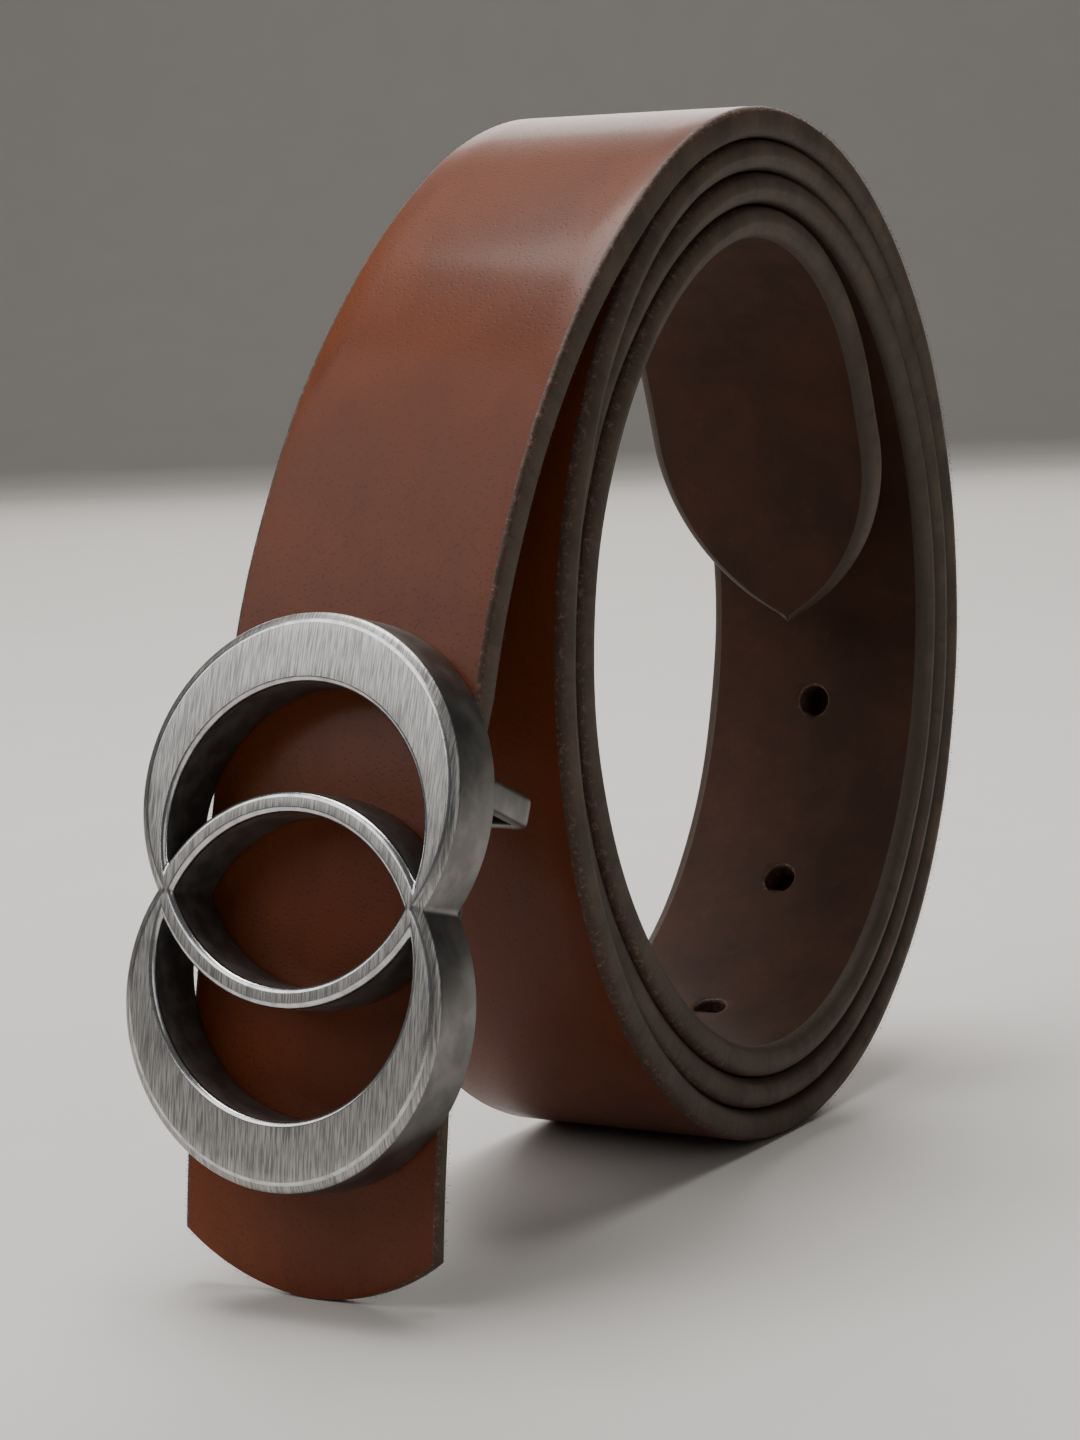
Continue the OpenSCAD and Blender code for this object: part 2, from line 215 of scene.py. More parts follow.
def build_strap():
    mesh = bmesh.new()
    place = mesh.loops.layers.uv.new("place")
    layer = mesh.loops.layers.uv.new("layer")
    rows, marks = [], []
    for run in sections:
        p, n, angle = along(run)
        points, t = ring(run)
        shift, drift = sideways(run, angle), wander(run, 9, 0.00015, 0.2)
        verts, notes = [], []
        for k, (x, d) in enumerate(points):
            edge = max(0, abs(x) / half_w - 0.9) * 10
            rough = wander(run, 5 + (x > 0), 0.00005, 0.03) * edge
            v = p - n * d + skewed(run, n, x)
            co = Vector((x + shift + rough + drift, v.y, max(0.00001, v.z)))
            verts.append(mesh.verts.new(co))
            notes.append((run, x, d / t))
        rows.append(verts)
        marks.append(notes)
    count = len(rows[0])
    grain_end, flesh_start, flesh_end = 10, 20, 30
    for i in range(len(rows) - 1):
        for k in range(count):
            m = (k + 1) % count
            face = mesh.faces.new((rows[i][k], rows[i][m], rows[i + 1][m], rows[i + 1][k]))
            if k < grain_end:
                face.material_index = 0
            elif flesh_start <= k < flesh_end:
                face.material_index = 1
            else:
                face.material_index = 2
            face.smooth = True
            for loop, (j, q) in zip(face.loops, ((i, k), (i, m), (i + 1, m), (i + 1, k))):
                run, x, d = marks[j][q]
                loop[place].uv = (run, x)
                loop[layer].uv = (d, x / half_w)
    for row, order in ((rows[0], -1), (rows[-1], 1)):
        face = mesh.faces.new(row[::order])
        face.material_index = 2
    bmesh.ops.recalc_face_normals(mesh, faces=mesh.faces)
    data = bpy.data.meshes.new("strap_leather")
    mesh.to_mesh(data)
    mesh.free()
    return data


def lathe(name, profile, steps, start=(0, 0, 0), axis=(0, 0, 1), across=(1, 0, 0)):
    """A closed turned mesh from (radius, height) points, along axis from start."""
    axis, across = Vector(axis).normalized(), Vector(across).normalized()
    other = axis.cross(across)
    start = Vector(start)
    verts, faces = [], []
    for r, h in profile:
        for k in range(steps):
            a = math.tau * k / steps
            verts.append(start + axis * h + (across * math.cos(a) + other * math.sin(a)) * r)
    for j in range(len(profile) - 1):
        for k in range(steps):
            m = (k + 1) % steps
            faces.append((j * steps + k, j * steps + m, (j + 1) * steps + m, (j + 1) * steps + k))
    faces.append(tuple(range(steps - 1, -1, -1)))
    top = (len(profile) - 1) * steps
    faces.append(tuple(range(top, top + steps)))
    data = bpy.data.meshes.new(name)
    data.from_pydata([tuple(v) for v in verts], [], faces)
    tidy_normals(data)
    return data


def tidy_normals(data):
    mesh = bmesh.new()
    mesh.from_mesh(data)
    bmesh.ops.recalc_face_normals(mesh, faces=mesh.faces)
    mesh.to_mesh(data)
    mesh.free()


def add(name, data, *materials):
    obj = bpy.data.objects.new(name, data)
    bpy.context.scene.collection.objects.link(obj)
    for material in materials:
        data.materials.append(material)
    return obj


def made_plain(obj):
    """Evaluate the modifiers, keep the result as a plain mesh and drop the modifiers."""
    depsgraph = bpy.context.evaluated_depsgraph_get()
    data = bpy.data.meshes.new_from_object(obj.evaluated_get(depsgraph))
    obj.modifiers.clear()
    obj.data = data
    return obj


def cut(obj, tools):
    """Take the tools away from obj."""
    for tool in tools:
        change = obj.modifiers.new("cut", "BOOLEAN")
        change.object = tool
        change.operation = "DIFFERENCE"
        change.solver = "EXACT"
    made_plain(obj)
    for tool in tools:
        data = tool.data
        bpy.data.objects.remove(tool)
        bpy.data.meshes.remove(data)
    return obj


class Sock:
    """A node's output; arithmetic on it adds Math nodes."""

    def __init__(self, socket):
        self.socket = socket
        self.tree = socket.id_data

    def math(self, operation, other):
        return make(self.tree, "ShaderNodeMath", {"operation": operation}, {0: self, 1: other})

    def __add__(self, other):
        return self.math("ADD", other)

    def __mul__(self, other):
        return self.math("MULTIPLY", other)

    def __rsub__(self, other):
        return self * -1 + other

    __radd__, __rmul__ = __add__, __mul__

    def band(self, low, high):
        """0 below low, 1 above high, smooth between."""
        return make(self.tree, "ShaderNodeMapRange", {"interpolation_type": "SMOOTHSTEP"},
                    {"Value": self, "From Min": low, "From Max": high})


def make(tree, kind, settings=None, values=None, out=0):
    """Add a node, set it up, fill or link its inputs, and return one output."""
    node = tree.nodes.new(kind)
    for key, value in (settings or {}).items():
        setattr(node, key, value)
    for key, value in (values or {}).items():
        slot = node.inputs[key]
        if isinstance(value, Sock):
            tree.links.new(value.socket, slot)
        else:
            slot.default_value = value
    return Sock(node.outputs[out])


def mixed(tree, share, a, b):
    """Blend two colours."""
    return make(tree, "ShaderNodeMix", {"data_type": "RGBA"}, {0: share, 6: a, 7: b}, 2)


def scaled(tree, vector, size):
    return make(tree, "ShaderNodeVectorMath", {"operation": "MULTIPLY"}, {0: vector, 1: size})


def material(name, build):
    """A material whose build(tree) returns the surface shader's values."""
    result = bpy.data.materials.new(name)
    result.use_nodes = True
    tree = result.node_tree
    tree.nodes.clear()
    values = build(tree)
    shader = make(tree, "ShaderNodeBsdfPrincipled", {}, values)
    tree.links.new(shader.socket, tree.nodes.new("ShaderNodeOutputMaterial").inputs["Surface"])
    return result


def uv(tree, name):
    return make(tree, "ShaderNodeUVMap", {"uv_map": name})


def noise(tree, vector, scale, detail=4, rough=0.55):
    return make(tree, "ShaderNodeTexNoise", {"noise_dimensions": "3D"},
                {"Vector": vector, "Scale": scale, "Detail": detail, "Roughness": rough})


def bump(tree, height, distance, strength=1.0, normal=None):
    values = {"Height": height, "Distance": distance, "Strength": strength}
    if normal:
        values["Normal"] = normal
    return make(tree, "ShaderNodeBump", {}, values)


def grain_leather(tree):
    place = uv(tree, "place")
    cloud = noise(tree, place, 28, 3)
    streak = noise(tree, scaled(tree, place, (0.35, 1, 1)), 220, 4)
    cells = make(tree, "ShaderNodeTexVoronoi", {"feature": "F1"},
                 {"Vector": place, "Scale": 1900.0, "Randomness": 1.0})
    pores = cells.band(0.05, 0.42)
    fine = noise(tree, place, 3200, 3)
    mottled = mixed(tree, cloud.band(0.35, 0.7), (0.105, 0.0235, 0.0066, 1), (0.150, 0.036, 0.0105, 1))
    toned = mixed(tree, streak.band(0.45, 0.75) * 0.35, mottled, (0.080, 0.0185, 0.0062, 1))
    colour = mixed(tree, (1 - pores) * 0.35, toned, (0.045, 0.012, 0.006, 1))
    return {
        "Base Color": colour,
        "Roughness": 0.34 + 0.10 * cloud + 0.08 * (1 - pores),
        "Specular IOR Level": 0.16,
        "Coat Weight": 0.12,
        "Coat Roughness": 0.14,
        "Normal": bump(tree, pores * 0.5 + fine * 0.5 + streak * 0.6, 0.00005, 0.55),
    }


def flesh_leather(tree):
    place = uv(tree, "place")
    cloud = noise(tree, place, 70, 5, 0.65)
    blot = noise(tree, place, 320, 4, 0.7)
    fibre = noise(tree, scaled(tree, place, (0.5, 1, 1)), 2400, 4, 0.7)
    base = mixed(tree, cloud.band(0.3, 0.72), (0.028, 0.0100, 0.0048, 1), (0.062, 0.0220, 0.0100, 1))
    red = mixed(tree, blot.band(0.52, 0.8) * 0.55, base, (0.085, 0.026, 0.013, 1))
    colour = mixed(tree, fibre.band(0.35, 0.7) * 0.5, red, (0.038, 0.018, 0.012, 1))
    return {
        "Base Color": colour,
        "Roughness": 0.58 + 0.2 * fibre,
        "Specular IOR Level": 0.2,
        "Normal": bump(tree, fibre + blot * 0.8, 0.00008, 0.6),
    }


def edge_leather(tree):
    layer = make(tree, "ShaderNodeSeparateXYZ", {}, {0: uv(tree, "layer")})
    place = uv(tree, "place")
    body = make(tree, "ShaderNodeTexCoord", out=3)
    speck = noise(tree, body, 1500, 4, 0.75)
    long_fibre = noise(tree, scaled(tree, place, (0.6, 1, 1)), 900, 4, 0.6)
    burnish = noise(tree, place, 130, 3)
    middle = mixed(tree, burnish.band(0.35, 0.7), (0.052, 0.033, 0.020, 1), (0.095, 0.064, 0.042, 1))
    low = mixed(tree, layer.band(0.62, 0.95), middle, (0.050, 0.032, 0.020, 1))
    frayed = mixed(tree, speck.band(0.5, 0.66), (0.050, 0.020, 0.012, 1), (0.20, 0.11, 0.075, 1))
    colour = mixed(tree, (1 - layer.band(0.05, 0.30)) * 0.75, low, frayed)
    return {
        "Base Color": mixed(tree, long_fibre.band(0.5, 0.75) * 0.5, colour, (0.026, 0.017, 0.012, 1)),
        "Roughness": 0.46 + 0.28 * speck,
        "Specular IOR Level": 0.5,
        "Normal": bump(tree, speck + long_fibre, 0.00018, 0.6),
    }


grain_look = material("leather_grain", grain_leather)
flesh_look = material("leather_flesh", flesh_leather)
edge_look = material("leather_edge", edge_leather)


def hole_tool(run, x, r, flare):
    """A cutter for a punched hole, its ends flared where the punch drags the leather."""
    p, n, angle = along(run)
    t = thick(run)
    p = p + Vector((x + sideways(run, angle) + wander(run, 9, 0.00015, 0.2), 0, 0))
    over = 0.00006
    profile = [(r + flare + 0.0001, -t - over), (r + flare * 0.35, -t + flare * 0.5), (r, -t + flare * 1.4),
               (r, -flare), (r + flare * 0.3, -flare * 0.3), (r + flare * 0.8, over)]
    return add("hole_tool", lathe("hole_tool", profile, 32, p, n), edge_look)


buckle_run = 0.0391
ring_r, ring_u = half_w + 0.0035, 0.020 / 2
opening_r, opening_u = ring_r - 0.0035, 0.01294 / 2
stud_run = buckle_run - (ring_u + ring_r + opening_u + opening_r) / 2
screw_x = 0.0065
screw_run = buckle_run + (ring_u + math.sqrt(ring_r ** 2 - screw_x ** 2)
                          + opening_u + math.sqrt(opening_r ** 2 - screw_x ** 2)) / 2

strap = add("strap_leather", build_strap(), grain_look, flesh_look, edge_look)
tools = [hole_tool(strap_length - back, 0, hole_r, 0.00025) for back in hole_runs]
tools.append(hole_tool(stud_run, 0, 0.0017, 0.0001))
tools += [hole_tool(screw_run, x, 0.00145, 0.0001) for x in (-screw_x, screw_x)]
cut(strap, tools)
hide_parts("strap")
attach(strap, "belt")

# ---------------------------------------------------------------------------------------------
# Edge fibres
# Loose collagen fibres that stand out of the strap's cut edges: thick along the grain corner of
# the free length and the end cut, where the edge was only trimmed, thinner lower on those edges.
# ---------------------------------------------------------------------------------------------


def fibre_rows():
    """Edge lines along the strap, as a mesh of edges with an outward direction at each point."""
    verts, edges, outward = [], [], []

    def row(points):
        for k, (place, away) in enumerate(points):
            if k:
                edges.append((len(verts) - 1, len(verts)))
            verts.append(tuple(place))
            outward.append(tuple(away))

    for side in (-1, 1):
        for depth, reach in ((0.06, 0.34), (0.14, 0.30), (0.45, 0.20), (0.90, 0.24)):
            points = []
            for run in np.arange(0.0060, reach, 0.0015):
                p, n, angle = along(run)
                t = thick(run)
                drift = sideways(run, angle) + wander(run, 9, 0.00015, 0.2)
                drift += wander(run, 5 + (side > 0), 0.00005, 0.03)
                x = side * (half_w - (0.00025 if depth < 0.1 else 0.00004)) + drift
                away = Vector((side, 0, 0)) + n * (0.7 if depth < 0.2 else 0)
                points.append((Vector((x, 0, 0)) + p - n * (depth * t), away))
            row(points)
    for side, depth in ((-1, 0.1), (1, 0.1), (-1, 0.5), (1, 0.5)):
        points = []
        for k in range(9, 21):
            q = side * end_turn * k / 20
            run, x = end_radius * (1 - math.cos(q)), end_radius * math.sin(q)
            p, n, angle = along(run)
            down = Vector((0, -n.z, n.y))
            place = Vector((x + wander(run, 9, 0.00015, 0.2), 0, 0)) + p - n * (depth * thick(run))
            place += skewed(run, n, x)
            points.append((place, down + n * 0.6 + Vector((math.sin(q), 0, 0))))
        row(points)
    data = bpy.data.meshes.new("edge_fibres")
    data.from_pydata(verts, edges, [])
    away = data.attributes.new("outward", "FLOAT_VECTOR", "POINT")
    away.data.foreach_set("vector", [v for row in outward for v in row])
    return data


def grown(name, data, look, settings):
    """Grow fibres on a mesh of edges with Geometry Nodes and keep the result as a plain mesh."""
    tree = bpy.data.node_groups.new(name, "GeometryNodeTree")
    plug = tree.interface.new_socket
    plug("Geometry", in_out="INPUT", socket_type="NodeSocketGeometry")
    sockets = {}
    for key, value in settings.items():
        kind = "NodeSocketInt" if isinstance(value, int) else "NodeSocketFloat"
        sockets[key] = plug(key, in_out="INPUT", socket_type=kind)
    plug("Geometry", in_out="OUTPUT", socket_type="NodeSocketGeometry")
    source = tree.nodes.new("NodeGroupInput")
    given = {key: Sock(source.outputs[key]) for key in settings}

    def random(low, high, seed, vector=True):
        kind = {"data_type": "FLOAT_VECTOR" if vector else "FLOAT"}
        first, out = (0, 0) if vector else (2, 1)
        return make(tree, "FunctionNodeRandomValue", kind, {first: low, first + 1: high, "Seed": seed}, out)

    curve = make(tree, "GeometryNodeMeshToCurve", {}, {"Mesh": Sock(source.outputs["Geometry"])})
    points = make(tree, "GeometryNodeResampleCurve", {"mode": "LENGTH"},
                  {"Curve": curve, "Length": given["Spacing"]})
    scatter = make(tree, "ShaderNodeVectorMath", {"operation": "SCALE"},
                   {0: random((-1, -1, -1), (1, 1, 1), given["Seed"]), "Scale": given["Scatter"]})
    moved = make(tree, "GeometryNodeSetPosition", {}, {"Geometry": points, "Offset": scatter})
    fibre = make(tree, "GeometryNodeMeshCone", {"fill_type": "NGON"},
                 {"Vertices": 4, "Side Segments": 2, "Fill Segments": 1, "Radius Top": 0.000006,
                  "Radius Bottom": given["Radius"], "Depth": given["Length"]})
    away = make(tree, "GeometryNodeInputNamedAttribute", {"data_type": "FLOAT_VECTOR"}, {"Name": "outward"})
    lean_out = make(tree, "ShaderNodeVectorMath", {"operation": "ADD"},
                    {0: away, 1: random((-1.1, -1.1, -1.1), (1.1, 1.1, 1.1), given["Seed"] + 7)})
    turn = make(tree, "FunctionNodeAlignRotationToVector", {"axis": "Z"}, {"Vector": lean_out})
    placed = make(tree, "GeometryNodeInstanceOnPoints", {},
                  {"Points": moved, "Instance": fibre, "Rotation": turn,
                   "Scale": random(0.25, 1.0, given["Seed"] + 3, vector=False)})
    real = make(tree, "GeometryNodeRealizeInstances", {}, {"Geometry": placed})
    done = make(tree, "GeometryNodeSetMaterial", {}, {"Geometry": real, "Material": look})
    tree.links.new(done.socket, tree.nodes.new("NodeGroupOutput").inputs["Geometry"])
    obj = add(name, data)
    change = obj.modifiers.new(name, "NODES")
    change.node_group = tree
    for key, value in settings.items():
        change[sockets[key].identifier] = value
    return made_plain(obj)


def fibre_leather(tree):
    body = make(tree, "ShaderNodeTexCoord", out=3)
    return {
        "Base Color": mixed(tree, noise(tree, body, 900, 3).band(0.35, 0.65), (0.060, 0.026, 0.015, 1),
                            (0.19, 0.115, 0.078, 1)),
        "Roughness": 0.55 + 0.2 * noise(tree, body, 1500, 2),
        "Specular IOR Level": 0.3,
    }


fibre_look = material("leather_fibre", fibre_leather)
fibres = grown("edge_fibres", fibre_rows(), fibre_look,
               {"Spacing": 0.00032, "Length": 0.00034, "Radius": 0.00004, "Scatter": 0.00009, "Seed": 11})
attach(fibres, "belt")

# ---------------------------------------------------------------------------------------------
# Buckle frame
# One zinc casting: two rings that cross, each with a thin arc inside the other. The face is
# brushed lengthwise and lacquered, its rims polished, the inside walls coloured near black.
# ---------------------------------------------------------------------------------------------
arc_w = 0.00212
frame_t = 0.0072
rest_gap = 0.00005
rim = 0.00042
brushed_slot, polished_slot, plated_slot, black_slot = range(4)
buckle_p, buckle_n, _ = along(buckle_run)
buckle_up = Vector((0, buckle_n.z, -buckle_n.y))


def arc_points(centre, radius, start, end, count):
    return [(radius * math.cos(start + (end - start) * k / count),
             centre + radius * math.sin(start + (end - start) * k / count)) for k in range(count)]


def outer_loop(inset):
    r = ring_r - inset
    low = math.atan2(-ring_u, math.sqrt(r * r - ring_u * ring_u))
    return (arc_points(ring_u, r, low, math.pi - low, 150)
            + arc_points(-ring_u, r, math.pi + low, math.tau - low, 150))


def crescent_loop(inset, side):
    a, b, c = opening_r + inset, opening_r + arc_w - inset, opening_u
    y = (b * b - a * a) / (4 * c)
    x = math.sqrt(a * a - (y - c) ** 2)
    start, end = math.atan2(y - c, x), math.atan2(y + c, x)
    loop = arc_points(c, a, start, math.pi - start, 110) + arc_points(-c, b, math.pi - end, end, 90)
    return [(px, side * py) for px, py in loop][::side]


def lens_loop(inset):
    r = opening_r + inset
    turn = math.asin(opening_u / r)
    return (arc_points(-opening_u, r, turn, math.pi - turn, 80)
            + arc_points(opening_u, r, math.pi + turn, math.tau - turn, 80))


def in_metal(x, y, inset, outer_inset):
    """Whether a place on the buckle is metal, its inner and outer edges drawn in by the insets."""
    up, down = math.hypot(x, y - opening_u), math.hypot(x, y + opening_u)
    a, b = opening_r + inset, opening_r + arc_w - inset
    if min(math.hypot(x, y - ring_u), math.hypot(x, y + ring_u)) > ring_r - outer_inset:
        return False
    return not ((up < a and down > b) or (down < a and up > b) or (up < a and down < a))


def height(u, radius):
    """How far a surface of this radius stands off the strap's tangent plane."""
    return math.sqrt(radius * radius - u * u) - front_radius


def on_buckle(x, u, n):
    return buckle_p + Vector((x, 0, 0)) + buckle_up * u + buckle_n * n


def build_frame():
    """The casting: one outer wall, three inner walls, and a back and face between them."""
    # Each level of a wall, from the back to the face: inset, share of the depth, extra height
    back_edge = [(0.0003, 0, 0), (0.00008, 0, 0.0001), (0, 0, 0.00035)]
    inner_levels = back_edge + [(0, 1, -0.00062), (0.00005, 1, -0.00040), (0.00016, 1, -0.00020),
                                (rim, 1, -0.00002), (rim + 0.00018, 1, 0)]
    outer_levels = back_edge + [(0, 0.5, 0), (0, 1, -0.00075), (0.00004, 1, -0.00058),
                                (0.00014, 1, -0.00044), (0.00040, 1, -0.00028), (0.00075, 1, -0.00012),
                                (0.00092, 1, -0.00005), (0.00110, 1, 0)]
    # The look of each strip of wall between two levels
    inner_looks = [black_slot] * 3 + [polished_slot] * 4
    outer_looks = [plated_slot] * 5 + [brushed_slot] * 3 + [polished_slot] * 2
    mesh = bmesh.new()
    walls = [(outer_loop, outer_levels, outer_looks),
             (lambda inset: crescent_loop(inset, 1), inner_levels, inner_looks),
             (lens_loop, inner_levels, inner_looks),
             (lambda inset: crescent_loop(inset, -1), inner_levels, inner_looks)]
    ends = {0: [], 1: []}
    for loop, levels, looks in walls:
        rows = []
        for inset, share, extra in levels:
            row = []
            for x, u in loop(inset):
                n = height(u, front_radius + rest_gap + frame_t * share) + extra
                row.append(mesh.verts.new(on_buckle(x, u, n)))
            rows.append((row, loop(inset)))
        for j in range(len(rows) - 1):
            a, b = rows[j][0], rows[j + 1][0]
            for k in range(len(a)):
                m = (k + 1) % len(a)
                face = mesh.faces.new((a[k], a[m], b[m], b[k]))
                face.smooth = True
                face.material_index = looks[j]
        ends[0].append(rows[0])
        ends[1].append(rows[-1])
    for share in (0, 1):
        inset, outer_inset = inner_levels[-share][0], outer_levels[-share][0]
        flat, edges, verts = [], [], []
        for row, points in ends[share]:
            base = len(flat)
            flat += points
            verts += row
            edges += [(base + k, base + (k + 1) % len(row)) for k in range(len(row))]
        grid, clear = 0.0011, 0.0005
        for i in range(-18, 19):
            for j in range(-27, 28):
                x, u = (i + 0.5 * (j % 2)) * grid, j * grid
                if in_metal(x, u, inset + clear, outer_inset + clear):
                    flat.append((x, u))
                    n = height(u, front_radius + rest_gap + frame_t * share)
                    verts.append(mesh.verts.new(on_buckle(x, u, n)))
        found = delaunay_2d_cdt([Vector(p) for p in flat], edges, [], 0, 1e-9)
        for tri in found[2]:
            x = sum(found[0][k][0] for k in tri) / 3
            u = sum(found[0][k][1] for k in tri) / 3
            if not in_metal(x, u, inset, outer_inset):
                continue
            source = [found[3][k][0] for k in tri]
            face = mesh.faces.new([verts[k] for k in source])
            face.smooth = True
            face.material_index = brushed_slot if share else plated_slot
    bmesh.ops.recalc_face_normals(mesh, faces=mesh.faces)
    place = mesh.loops.layers.uv.new("place")
    for face in mesh.faces:
        for loop in face.loops:
            away = loop.vert.co - buckle_p
            loop[place].uv = (away.x, away.dot(buckle_up))
    data = bpy.data.meshes.new("buckle_casting")
    mesh.to_mesh(data)
    mesh.free()
    return data


def brushed(tree):
    place = uv(tree, "place")
    fine = noise(tree, scaled(tree, place, (1, 0.045, 1)), 6500, 3, 0.6)
    broad = noise(tree, scaled(tree, place, (1, 0.06, 1)), 1500, 3, 0.6)
    cloud = noise(tree, place, 120, 3)
    colour = mixed(tree, fine.band(0.36, 0.64), (0.22, 0.216, 0.21, 1), (0.50, 0.492, 0.48, 1))
    return {
        "Base Color": mixed(tree, broad.band(0.5, 0.75) * 0.5, colour, (0.15, 0.148, 0.145, 1)),
        "Metallic": 1.0,
        "Roughness": 0.27 + 0.16 * fine + 0.08 * cloud,
        "Normal": bump(tree, fine * 0.6 + broad * 0.4, 0.000045, 0.8),
    }


def polished(tree):
    body = make(tree, "ShaderNodeTexCoord", out=3)
    rub = noise(tree, body, 700, 3)
    return {
        "Base Color": mixed(tree, rub.band(0.4, 0.7), (0.62, 0.62, 0.63, 1), (0.42, 0.42, 0.43, 1)),
        "Metallic": 1.0,
        "Roughness": 0.16 + 0.12 * rub,
        "Normal": bump(tree, rub, 0.00004, 0.3),
    }


def plated(tree):
    body = make(tree, "ShaderNodeTexCoord", out=3)
    cast = noise(tree, body, 260, 4)
    dust = noise(tree, body, 1800, 3)
    return {
        "Base Color": mixed(tree, cast.band(0.35, 0.7), (0.16, 0.154, 0.148, 1), (0.26, 0.252, 0.243, 1)),
        "Metallic": 1.0,
        "Roughness": 0.30 + 0.12 * cast + 0.06 * dust,
        "Normal": bump(tree, cast * 0.7 + dust * 0.3, 0.00006, 0.35),
    }


# Inside walls of the openings and the loop slots: metal coloured near black, darker than the face.
def near_black_walls(tree):
    body = make(tree, "ShaderNodeTexCoord", out=3)
    cast = noise(tree, body, 500, 4)
    return {
        "Base Color": mixed(tree, cast.band(0.35, 0.7), (0.080, 0.078, 0.075, 1), (0.150, 0.146, 0.140, 1)),
        "Metallic": 0.5,
        "Roughness": 0.26 + 0.14 * cast,
        "Normal": bump(tree, cast, 0.00008, 0.35),
    }


brushed_look = material("metal_brushed", brushed)
polished_look = material("metal_polished", polished)
plated_look = material("metal_plated", plated)
black_look = material("metal_blackened", near_black_walls)
buckle = add("buckle_casting", build_frame(), brushed_look, polished_look, plated_look, black_look)

leg_t, bar_h, bar_t = 0.00175, 0.003, 0.002
slot_x = half_w + leg_t / 2 + 0.00035
loop_raise = 0.0025
pivot_n = rest_gap + 0.0022
loop_run = buckle_run + ring_u + loop_raise
loop_p, loop_n, _ = along(loop_run)
loop_up = Vector((0, loop_n.z, -loop_n.y))
swing = math.radians(18)
slot_half = bar_h / 2 / math.cos(swing) + 0.0022 * math.tan(swing) + 0.00015
slot_top = pivot_n + bar_h / 2 + 0.00015


def block(name, centre, up, normal, size, *looks):
    """A box with its sides along X, up and normal."""
    corners = [(i, j, k) for i in (-1, 1) for j in (-1, 1) for k in (-1, 1)]
    verts = [centre + Vector((i * size[0] / 2, 0, 0)) + up * (j * size[1] / 2) + normal * (k * size[2] / 2)
             for i, j, k in corners]
    faces = [(0, 1, 3, 2), (4, 6, 7, 5), (0, 4, 5, 1), (2, 3, 7, 6), (0, 2, 6, 4), (1, 5, 7, 3)]
    data = bpy.data.meshes.new(name)
    data.from_pydata([tuple(v) for v in verts], [], faces)
    tidy_normals(data)
    return add(name, data, *looks)


deep = 0.002 + slot_top
slot_mid = loop_p + loop_n * (slot_top - deep / 2)
slots = [block("slot_tool", slot_mid + Vector((side * slot_x, 0, 0)), loop_up, loop_n,
               (leg_t + 0.00015, 2 * slot_half, deep), black_look) for side in (-1, 1)]
cut(buckle, slots)
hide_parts("buckle_frame")
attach(buckle, "belt")

# ---------------------------------------------------------------------------------------------
# Strap loop
# A bent bar that hangs on two pins in the frame's sides and holds the belt's tail against the
# back of the strap. Same plating as the frame, its outer corners rounded over.
# ---------------------------------------------------------------------------------------------
rest_turn = math.radians(7)
pivot = loop_p + loop_n * pivot_n
leg_dir = -loop_n * math.cos(rest_turn) - loop_up * math.sin(rest_turn)
leg_up = loop_up * math.cos(rest_turn) - loop_n * math.sin(rest_turn)
drop = pivot_n + thick(loop_run) + 0.0065 + bar_t / 2


def loop_route():
    """The U, leg to leg, as (x, distance from the pivots, share down, share across, width share)."""
    bend = 0.0012
    route = []
    for k in range(-7, 0):
        q = math.pi / 2 * k / 7
        route.append((-slot_x, bar_h / 2 * math.sin(q), 1, 0, math.cos(q) + 0.05))
    for k in range(10):
        route.append((-slot_x, (drop - bend) * k / 9, 1, 0, 1))
    for k in range(1, 8):
        q = math.pi / 2 * k / 8
        across, down = bend * (1 - math.cos(q)), bend * math.sin(q)
        route.append((-slot_x + across, drop - bend + down, math.cos(q), math.sin(q), 1))
    for k in range(25):
        route.append((-slot_x + bend + 2 * (slot_x - bend) * k / 24, drop, 0, 1, 1))
    mirrored = [(-x, d, -a, b, w) for x, d, a, b, w in route[:-25][::-1]]
    return route + mirrored


def loop_mesh():
    """A bar with rounded edges, swept along the U."""
    mesh = bmesh.new()
    rows = []
    for x, d, a, b, w in loop_route():
        t = (leg_t if abs(a) > 0.5 else bar_t) / 2
        side = Vector((1, 0, 0)) * a - leg_dir * b
        centre = pivot + Vector((x, 0, 0)) + leg_dir * d
        row = []
        for k in range(24):
            q = math.tau * k / 24
            c, s = math.cos(q), math.sin(q)
            sx = math.copysign(abs(c) ** 0.35, c) * t
            su = math.copysign(abs(s) ** 0.35, s) * bar_h / 2 * w
            row.append(mesh.verts.new(centre + side * sx + leg_up * su))
        rows.append(row)
    for i in range(len(rows) - 1):
        for k in range(24):
            m = (k + 1) % 24
            face = mesh.faces.new((rows[i][k], rows[i][m], rows[i + 1][m], rows[i + 1][k]))
            face.smooth = True
    mesh.faces.new(rows[0][::-1])
    mesh.faces.new(rows[-1])
    bmesh.ops.recalc_face_normals(mesh, faces=mesh.faces)
    data = bpy.data.meshes.new("loop_bar")
    mesh.to_mesh(data)
    mesh.free()
    return data


loop = add("loop_bar", loop_mesh(), plated_look)
cut(loop, [add("eye_tool", lathe("eye_tool", [(0.00065, -0.003), (0.00065, 0.003)], 24,
                                  pivot + Vector((side * slot_x, 0, 0)), (1, 0, 0), (0, 0, 1)), plated_look)
           for side in (-1, 1)])
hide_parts("strap_loop")
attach(loop, "loop")

# ---------------------------------------------------------------------------------------------
# Pivot pins, hook stud and strap screws
# Turned steel. The pins are pressed in from the sides; the stud and the two slotted screws clamp
# the strap to the back of the frame, and the stud's neck and head take a size hole.
# ---------------------------------------------------------------------------------------------


